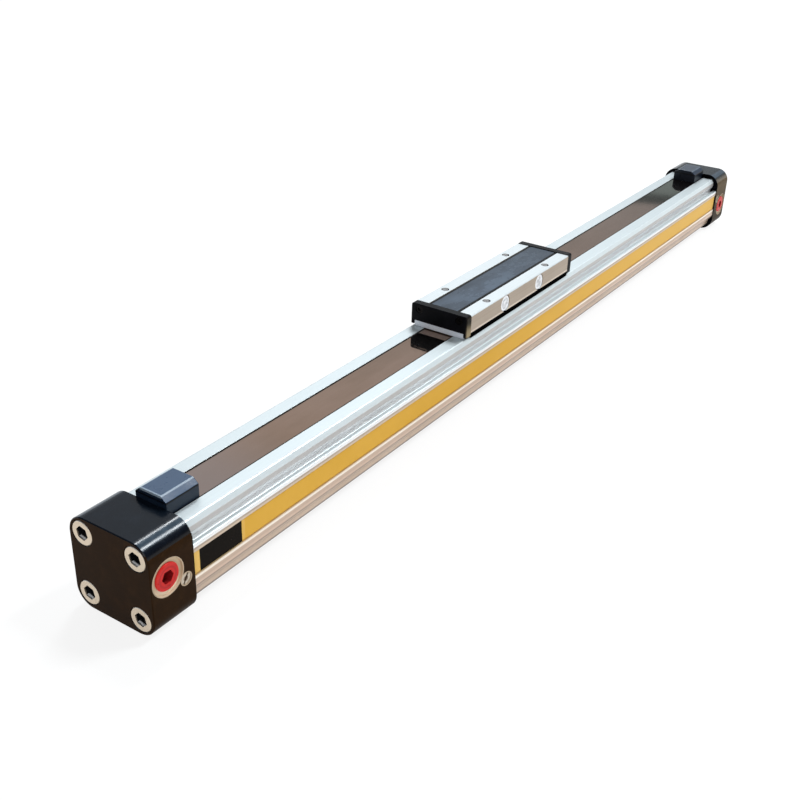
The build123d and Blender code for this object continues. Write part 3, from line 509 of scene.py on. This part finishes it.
def cover_plastic():
    """Band cover moulding: blue-black, with its chamfer and top painted lighter than its sides as
    painted light, a painted highlight along the edges round its top, painted shade in the crease
    under the chamfer, and painted shade towards the right end."""
    made, n = material("cover_plastic")
    x, y, z = n.axes()
    along, across = n.absolute(x), n.absolute(y)
    facing_up = n.facing()[2]
    side, chamfer, top = (0.008, 0.016, 0.031), (0.013, 0.046, 0.105), (0.062, 0.098, 0.160)
    # Painted light: chamfer and top paler than the sides
    base = n.mix(n.spread(facing_up, 0.15, 0.5), side, chamfer)
    base = n.mix(n.spread(facing_up, 0.85, 0.97), base, top)
    cloud = n.noise(70.0, 5.0, 0.62)
    base = n.mix(n.spread(cloud, 0.35, 0.8, 0.0, 0.35), base, (1.5, 1.5, 1.5), "MULTIPLY")
    # Painted shade: darker towards the right end
    base = n.mix(n.spread(x, -100.0, 100.0, 0.0, 0.65), base, (0.004, 0.005, 0.007))

    within_top = n.spread(across, 5.8, 5.5)
    side_edge = n.product(n.spread(across, 4.9, 5.15), within_top)
    end_edge = n.product(n.spread(along, COVER_END_X - 0.8, COVER_END_X - 0.5), within_top)
    # Painted highlight along the edges round the top, fading to the right
    edge_highlight = n.product(
        n.most(side_edge, end_edge),
        n.spread(z, 44.7, 45.0),
        n.spread(x, -100.0, 100.0, 1.0, 0.35),
        0.75,
    )
    base = n.mix(edge_highlight, base, (0.34, 0.42, 0.50))
    # Painted shade in the crease under the chamfer
    fold_shade = n.product(n.spread(z, 42.8, 43.1), n.spread(z, 43.8, 43.5))
    n.finish(
        Base_Color=n.mix(fold_shade, base, (0.001, 0.001, 0.002)),
        Roughness=n.middle(cloud, 0.24, 0.34),
        Specular_IOR_Level=0.22,
        Normal=n.bump(n.grain(), 0.15),
    )
    return made


def plate_plastic(name, level, rough):
    """Carriage end plate moulding: black, with a painted gold reflection on the left plate's
    flanks that grows towards the foot.
    """
    made, n = material(name)
    x, y, z = n.axes()
    facing_y = n.facing()[1]
    cloud = n.noise(90.0, 5.0, 0.62)
    base = n.mix(n.spread(cloud, 0.3, 0.8), (0.003, 0.003, 0.004), (0.007, 0.007, 0.009))
    flank = n.product(
        n.spread(n.absolute(facing_y), 0.6, 0.9),
        n.less(x, CARRIAGE_X),
        n.more(n.absolute(y), 16.0),
    )
    # Painted reflection on the left plate's flanks, strongest towards the foot
    flank_reflection = n.mix(n.spread(z, 47.5, 40.5), (0.016, 0.013, 0.008), (0.32, 0.25, 0.145))
    n.finish(
        Base_Color=n.mix(flank, base, flank_reflection),
        Roughness=n.middle(cloud, rough - 0.05, rough + 0.06),
        Specular_IOR_Level=level,
        Normal=n.bump(n.grain(), 0.25),
    )
    return made


def strip_plastic():
    """Pressed-in cover strip: mottled, lightest near its middle, darker towards the right, at the
    left end and on the rear half, with painted shade on its rolled edges and on faces that turn
    away from up.
    """
    made, n = material("strip_plastic")
    x, y, _ = n.axes()
    smear = n.noise(1.0, 5.0, 0.65, at=(60, 110, 60))
    fine = n.noise(1.0, 3.0, 0.6, at=(90, 1200, 1200))
    base = n.mix(n.middle(smear), (0.066, 0.083, 0.108), (0.108, 0.141, 0.186))
    # Darker towards the right, at the left end and on the rear half
    darker_zones = n.most(
        n.spread(x, -35.0, 30.0, 0.0, 0.55),
        n.spread(x, -50.0, -72.0, 0.0, 0.45),
        n.spread(y, -1.0, 6.0, 0.0, 0.50),
    )
    base = n.mix(darker_zones, base, (0.056, 0.069, 0.086))
    base = n.mix(n.spread(fine, 0.55, 0.8, 0.0, 0.3), base, (0.118, 0.138, 0.168))
    # Painted shade on the rolled edges and on faces that turn away from up
    edge = n.most(n.spread(n.absolute(y), 7.3, 7.8), n.spread(n.facing()[2], 0.6, 0.3))
    n.finish(
        Base_Color=n.mix(edge, base, (0.002, 0.002, 0.003)),
        Roughness=n.middle(smear, 0.20, 0.34),
        Specular_IOR_Level=0.08,
        Normal=n.bump(fine, 0.15),
    )
    return made


def plug_red():
    """Moulded transport plug: a brighter rim, a darker ring, and painted shade in its drive
    socket.
    """
    made, n = material("plug_red")
    x, y, z = n.axes()
    radius = cap_fitting(n, x, z, PORT_X, PORT_LEFT_Z, PORT_RIGHT_Z)[2]
    cloud = n.noise(200.0, 4.0, 0.6)
    red = n.mix(n.middle(cloud), (0.56, 0.012, 0.010), (0.66, 0.020, 0.017))
    ring = n.product(n.spread(radius, 3.5, 3.8), n.spread(radius, 4.6, 4.3), 0.45)
    red = n.mix(ring, red, (0.30, 0.010, 0.012))
    red = n.mix(n.product(n.spread(radius, 5.0, 5.5), 0.5), red, (0.70, 0.036, 0.031))
    # Painted shade in the drive socket
    socket = n.product(n.less(radius, 2.95), n.more(y, -20.25))
    n.finish(
        Base_Color=n.mix(socket, red, (0.26, 0.010, 0.012)),
        Roughness=n.middle(cloud, 0.26, 0.36),
        Specular_IOR_Level=0.15,
        Normal=n.bump(n.grain(), 0.20),
    )
    return made


def label():
    """Printed strip: plain yellow, painted paler to the right as painted light and paler at the
    left end, with a plain dark panel near the left end and painted shade along its top and bottom
    rim."""
    made, n = material("label_strip")
    x, _, z = n.axes()
    cloud = n.noise(22.0, 4.0, 0.6, at=(0.5, 1, 1))
    yellow = n.mix(n.middle(cloud), (0.73, 0.40, 0.050), (0.78, 0.44, 0.070))
    # Painted light: paler towards the right
    yellow = n.mix(n.spread(x, -120.0, 280.0, 0.0, 0.8), yellow, (0.83, 0.51, 0.135))
    beside_panel = n.product(n.less(x, PANEL_RIGHT + 1.8), n.more(x, -262.0))
    yellow = n.mix(beside_panel, yellow, (0.80, 0.48, 0.11))
    yellow = n.mix(n.less(x, PANEL_LEFT), yellow, (0.86, 0.54, 0.15))
    # Painted shade along the top and bottom rim
    rim = n.product(n.most(n.spread(z, 25.7, 26.3), n.spread(z, 16.9, 16.4)), 0.45)
    yellow = n.mix(rim, yellow, (0.50, 0.26, 0.05))
    panel = n.product(n.more(x, PANEL_LEFT), n.less(x, PANEL_RIGHT))
    dark = n.mix(n.noise(300.0, 3.0, 0.6), (0.003, 0.002, 0.001), (0.008, 0.005, 0.003))
    n.finish(
        Base_Color=n.mix(panel, yellow, dark),
        Roughness=n.between(panel, n.middle(cloud, 0.36, 0.46), 0.26),
        Specular_IOR_Level=0.03,
        Normal=n.bump(n.noise(1800.0, 2.0, 0.5), 0.12),
    )
    return made


ANODISED = metal(
    "anodised_aluminium", (0.63, 0.695, 0.715), (0.455, 0.355, 0.278), 0.40, 0.25,
    metallic=0.45, barrel=True,
)
CARRIAGE_METAL = metal(
    "carriage_aluminium", (0.655, 0.705, 0.725), (0.41, 0.33, 0.257), 0.42, 0.25,
    metallic=0.35, carriage=True,
)
MACHINED = metal("machined_aluminium", (0.70, 0.71, 0.72), (0.60, 0.58, 0.55), 0.34, 0.35)
BLACK_SCREW = metal(
    "blackened_steel", (0.03, 0.03, 0.033), (0.010, 0.009, 0.009), 0.36, 0.20, drawn=False,
)
SCREW_STEEL = socket_steel()
PIN_STEEL = pin_steel()
BRASS = needle_brass()
BAND_STEEL = band_steel()
CAP_BLACK = cap_black("cap_black", (0.001, 0.004, 0.010), (0.002, 0.002, 0.003), 0.25, 0.18)
CAP_TOP = cap_black("cap_black_top", (0.003, 0.006, 0.011), (0.002, 0.002, 0.003), 0.15, 0.20)
CAP_SHADE = cap_black(
    "cap_black_shade", (0.020, 0.014, 0.009), (0.024, 0.011, 0.004), 0.02, 0.34,
)
COVER_PLASTIC = cover_plastic()
PLATE_PLASTIC = plate_plastic("plate_plastic", 0.08, 0.26)
PLATE_SHADE = plate_plastic("plate_plastic_shade", 0.04, 0.34)
STRIP_PLASTIC = strip_plastic()
PLUG_RED = plug_red()
LABEL = label()
SLIDE_PLASTIC = plastic(
    "slide_plastic", (0.004, 0.004, 0.005), (0.001, 0.001, 0.001), 0.45, 0.25, level=0.0,
)
WIPER_PLASTIC = plastic("wiper_plastic", (0.78, 0.81, 0.88), (0.74, 0.78, 0.86), 0.40, 0.30)
PISTON_PLASTIC = plastic(
    "piston_plastic", (0.075, 0.075, 0.08), (0.06, 0.06, 0.065), 0.42, 0.30,
)
RUBBER = plastic(
    "seal_rubber", (0.020, 0.020, 0.021), (0.016, 0.016, 0.017), 0.62, 0.45, level=0.35,
)
MAGNET = plastic(
    "bonded_magnet", (0.060, 0.056, 0.052), (0.050, 0.047, 0.044), 0.55, 0.40,
)


# Pieces
WELD = 2e-6  # metres
FLAT_ANGLE = math.radians(0.6)
BEVEL_ANGLE = math.radians(40)
SMOOTH_ANGLE = math.radians(32)
SHADE_BELOW = 0.40
LEVEL_ABOVE = 0.995


def body_of(node):
    for name, members in frame["record"]["behaviour"]["bodies"].items():
        if node in members:
            return name
    raise ValueError(node)


def smooth(mesh):
    """Smooth shading, with steep edges kept sharp."""
    work = bmesh.new()
    work.from_mesh(mesh)
    for face in work.faces:
        face.smooth = True
    for edge in work.edges:
        edge.smooth = len(edge.link_faces) == 2 and edge.calc_face_angle(0.0) < SMOOTH_ANGLE
    work.to_mesh(mesh)
    work.free()


def show(name, mesh, skin):
    piece = bpy.data.objects.new(name, mesh)
    scene.collection.objects.link(piece)
    mesh.materials.clear()
    mesh.materials.append(skin)
    normals = piece.modifiers.new("normals", "WEIGHTED_NORMAL")
    normals.weight = 100
    normals.keep_sharp = True
    return piece


def finished(node, skin, edge, shade=None, level=None):
    """Takes a CAD node's shape, breaks its sharp edges by so many millimetres and shows it in
    place of the node. Faces that don't look up take the shade skin, and level ones the level
    skin, where these are given."""
    work = bmesh.new()
    work.from_mesh(frame["nodes"][node].data)
    bmesh.ops.remove_doubles(work, verts=work.verts, dist=WELD)
    bmesh.ops.dissolve_limit(
        work, angle_limit=FLAT_ANGLE, verts=work.verts, edges=work.edges,
    )
    sharp = [
        e for e in work.edges
        if len(e.link_faces) == 2 and e.calc_face_angle(0.0) > BEVEL_ANGLE
    ]
    if edge and sharp:
        bmesh.ops.bevel(
            work, geom=sharp, offset=edge * MM, offset_type="OFFSET", segments=2,
            profile=0.5, affect="EDGES", clamp_overlap=True,
        )
    mesh = bpy.data.meshes.new(node + "_finished")
    work.to_mesh(mesh)
    work.free()
    smooth(mesh)
    piece = show(node + "_finished", mesh, skin)
    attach(piece, body_of(node))
    if shade:
        mesh.materials.append(shade)
        for face in mesh.polygons:
            face.material_index = int(face.normal.z < SHADE_BELOW)
    if level:
        mesh.materials.append(level)
        for face in mesh.polygons:
            if face.normal.z > LEVEL_ABOVE:
                face.material_index = 2
    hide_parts(node)


def skinned(node, skin):
    """Keeps a CAD node as it is and gives it its material."""
    piece = frame["nodes"][node]
    piece.data.materials.clear()
    piece.data.materials.append(skin)


finished("barrel", ANODISED, 0.12)
finished("label_strip", LABEL, 0.0)
finished("carriage_body", CARRIAGE_METAL, 0.15)
finished("carriage_cover", STRIP_PLASTIC, 0.25)
finished("side_pins", PIN_STEEL, 0.10)
for end in ("left", "right"):
    finished(end + "_end_cap", CAP_BLACK, 0.15, CAP_SHADE, CAP_TOP)
    finished(end + "_cap_screws", SCREW_STEEL, 0.12)
    finished(end + "_port_plug", PLUG_RED, 0.15)
    finished(end + "_cushion_needle", BRASS, 0.10)
    finished(end + "_band_cover", COVER_PLASTIC, 0.20)
    finished(end + "_end_plate", PLATE_PLASTIC, 0.25, PLATE_SHADE)
    finished(end + "_plate_screws", BLACK_SCREW, 0.08)
    finished(end + "_wiper", WIPER_PLASTIC, 0.10)
for side in ("front", "rear"):
    finished(side + "_slide_strip", SLIDE_PLASTIC, 0.10)

skinned("magnet_strips", MAGNET)
skinned("piston_yoke", MACHINED)
skinned("yoke_screws", SCREW_STEEL)
for end in ("left", "right"):
    for node, skin in (
        ("cap_seal", RUBBER),
        ("cushion_tube", MACHINED),
        ("band_clamp", SCREW_STEEL),
        ("clamp_screws", SCREW_STEEL),
        ("piston_head", PISTON_PLASTIC),
        ("piston_seal", RUBBER),
        ("wear_ring", SLIDE_PLASTIC),
        ("magnet_ring", MAGNET),
        ("cushion_seal", RUBBER),
        ("piston_bolt", SCREW_STEEL),
    ):
        skinned(end + "_" + node, skin)


# Sealing bands: a lifted or dipped middle that rides with the carriage, and fixed flat spans from
# its ends out to the caps
EDGE_ROUNDING = 0.08  # millimetres
RAMP_STEPS = 14


def band_mesh(name, path, half, thickness):
    """A strip along (x, z) points in millimetres, its underside on the points."""
    flat = half - EDGE_ROUNDING
    section = (
        (-half, thickness / 2),
        (-flat, thickness),
        (flat, thickness),
        (half, thickness / 2),
        (flat, 0.0),
        (-flat, 0.0),
    )
    work = bmesh.new()
    rows = []
    for index, (x, z) in enumerate(path):
        x0, z0 = path[max(index - 1, 0)]
        x1, z1 = path[min(index + 1, len(path) - 1)]
        run = Vector((x1 - x0, z1 - z0)).normalized()
        rows.append([
            work.verts.new(((x - run.y * rise) * MM, across * MM, (z + run.x * rise) * MM))
            for across, rise in section
        ])
    for a, b in zip(rows, rows[1:]):
        for i in range(len(section)):
            j = (i + 1) % len(section)
            work.faces.new((a[i], b[i], b[j], a[j]))
    work.faces.new(rows[0])
    work.faces.new(list(reversed(rows[-1])))
    bmesh.ops.recalc_face_normals(work, faces=work.faces)
    mesh = bpy.data.meshes.new(name)
    work.to_mesh(mesh)
    work.free()
    smooth(mesh)
    return mesh


def ramped(half_length, half_level, flat_z, moved_z):
    """Points from the flat height to the moved one and back, with S-shaped ramps, about x = 0."""
    ramp = []
    for k in range(RAMP_STEPS + 1):
        t = k / RAMP_STEPS
        s = t * t * (3 - 2 * t)
        x = -half_length + (half_length - half_level) * t
        ramp.append((x, flat_z + (moved_z - flat_z) * s))
    return ramp + [(-x, z) for x, z in reversed(ramp)]


def sealing_band(node, half, thickness, end_x, flat_z, moved_z, half_length, half_level):
    """One band as three pieces. half_length and half_level are those of its middle and of the
    middle's level part."""
    start_x, stop_x = CARRIAGE_X - half_length, CARRIAGE_X + half_length

    def span(side, path):
        name = node + "_" + side
        piece = show(name, band_mesh(name, path, half, thickness), BAND_STEEL)
        return piece

    def at(x):
        return (x * MM, 0, flat_z * MM)

    points = ramped(half_length, half_level, flat_z, moved_z)
    middle = span("middle", [(CARRIAGE_X + x, z) for x, z in points])
    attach(middle, "carriage")
    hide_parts(node)
    left = span("left", [(-end_x, flat_z), (start_x, flat_z)])
    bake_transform(left)
    far = span("right", [(stop_x, flat_z), (end_x, flat_z)])
    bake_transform(far)


sealing_band(
    "outer_band", half=7.9, thickness=0.4, end_x=276.5, flat_z=37.3, moved_z=44.5,
    half_length=54.0, half_level=31.0,
)
sealing_band(
    "inner_band", half=5.0, thickness=0.3, end_x=274.5, flat_z=32.55, moved_z=25.55,
    half_length=46.0, half_level=27.0,
)


# Floor: a plain white sheet that keeps a faint shadow
FLOOR_HALF = 12
FLOOR_DROP = 0.0002


def floor():
    made, n = material("floor_white")
    rays = n.tree.nodes.new("ShaderNodeLightPath").outputs
    seen = n.most(rays["Is Camera Ray"], rays["Is Glossy Ray"], rays["Is Transmission Ray"])
    paper = n.add("ShaderNodeBsdfDiffuse", Color=(0.92, 0.92, 0.92, 1))
    glow = n.add("ShaderNodeEmission", Color=(1, 1, 1, 1), Strength=1.05)
    mixed = n.add("ShaderNodeMixShader", n.product(seen, 0.80), paper.outputs[0], glow.outputs[0])
    n.end(mixed, "ShaderNodeOutputMaterial")
    work = bmesh.new()
    bmesh.ops.create_grid(work, x_segments=4, y_segments=4, size=FLOOR_HALF)
    mesh = bpy.data.meshes.new("floor")
    work.to_mesh(mesh)
    work.free()
    mesh.materials.append(made)
    piece = bpy.data.objects.new("floor", mesh)
    scene.collection.objects.link(piece)
    piece.location.z = -FLOOR_DROP


floor()


# World: a white backdrop to the eye and, low down, to mirrors. Its light is brightest on the
# far right, with a dark sill under it, and dim behind
def studio():
    world = bpy.data.worlds.new("studio")
    world.use_nodes = True
    scene.world = world
    n = Nodes(world.node_tree)
    direction = n.tree.nodes.new("ShaderNodeTexCoord").outputs["Generated"]
    east, north, height = n.add("ShaderNodeSeparateXYZ", direction).outputs
    far_side = n.math("ADD", n.product(east, AHEAD_X), n.product(north, AHEAD_Y))
    above_sill = n.spread(height, 0.2918, 0.2936)
    sill = n.spread(height, 0.2838, 0.2852, 0.80, 0.20)
    level = n.product(
        n.spread(far_side, 0.20, 0.65, 0.18, 1.0),
        n.spread(height, 0.20, 0.55, 0.45, 0.95),
        n.between(above_sill, sill, 1.0),
    )
    tint = n.mix(above_sill, (0.72, 1.0, 1.05), (0.94, 0.97, 1.0))
    light = n.add("ShaderNodeBackground", Color=tint, Strength=level)
    white = n.add("ShaderNodeBackground", Color=(1, 1, 1, 1), Strength=1.0)
    rays = n.tree.nodes.new("ShaderNodeLightPath").outputs
    mirrored = n.product(
        n.most(rays["Is Glossy Ray"], rays["Is Transmission Ray"]),
        n.spread(height, 0.20, 0.25, 1.0, 0.0),
    )
    seen = n.most(rays["Is Camera Ray"], mirrored)
    mixed = n.add("ShaderNodeMixShader", seen, light.outputs[0], white.outputs[0])
    n.end(mixed, "ShaderNodeOutputWorld")


studio()


# Lamps: two ceiling tubes well past the right end, and a weak fill from the front left
def lamp(name, where, size, power):
    data = bpy.data.lights.new(name, "AREA")
    data.shape = "RECTANGLE"
    data.size, data.size_y = size
    data.energy = power
    piece = bpy.data.objects.new(name, data)
    scene.collection.objects.link(piece)
    piece.location = where
    return piece


for name, where, size, power in (
    ("far_tube", (1.534, 0.912, 2.571), (1.12, 0.352), 47),
    ("near_tube", (1.534, -1.12, 2.539), (1.12, 0.54), 77),
):
    lamp(name, where, size, power).data.color = (0.93, 0.97, 1.0)
FILL_PLACE = Vector((-1.3, -0.9, 0.9))
fill = lamp("fill", FILL_PLACE, (1.2, 1.2), 9)
fill.rotation_mode = "QUATERNION"
fill.rotation_quaternion = (-FILL_PLACE).to_track_quat("-Z", "Y")
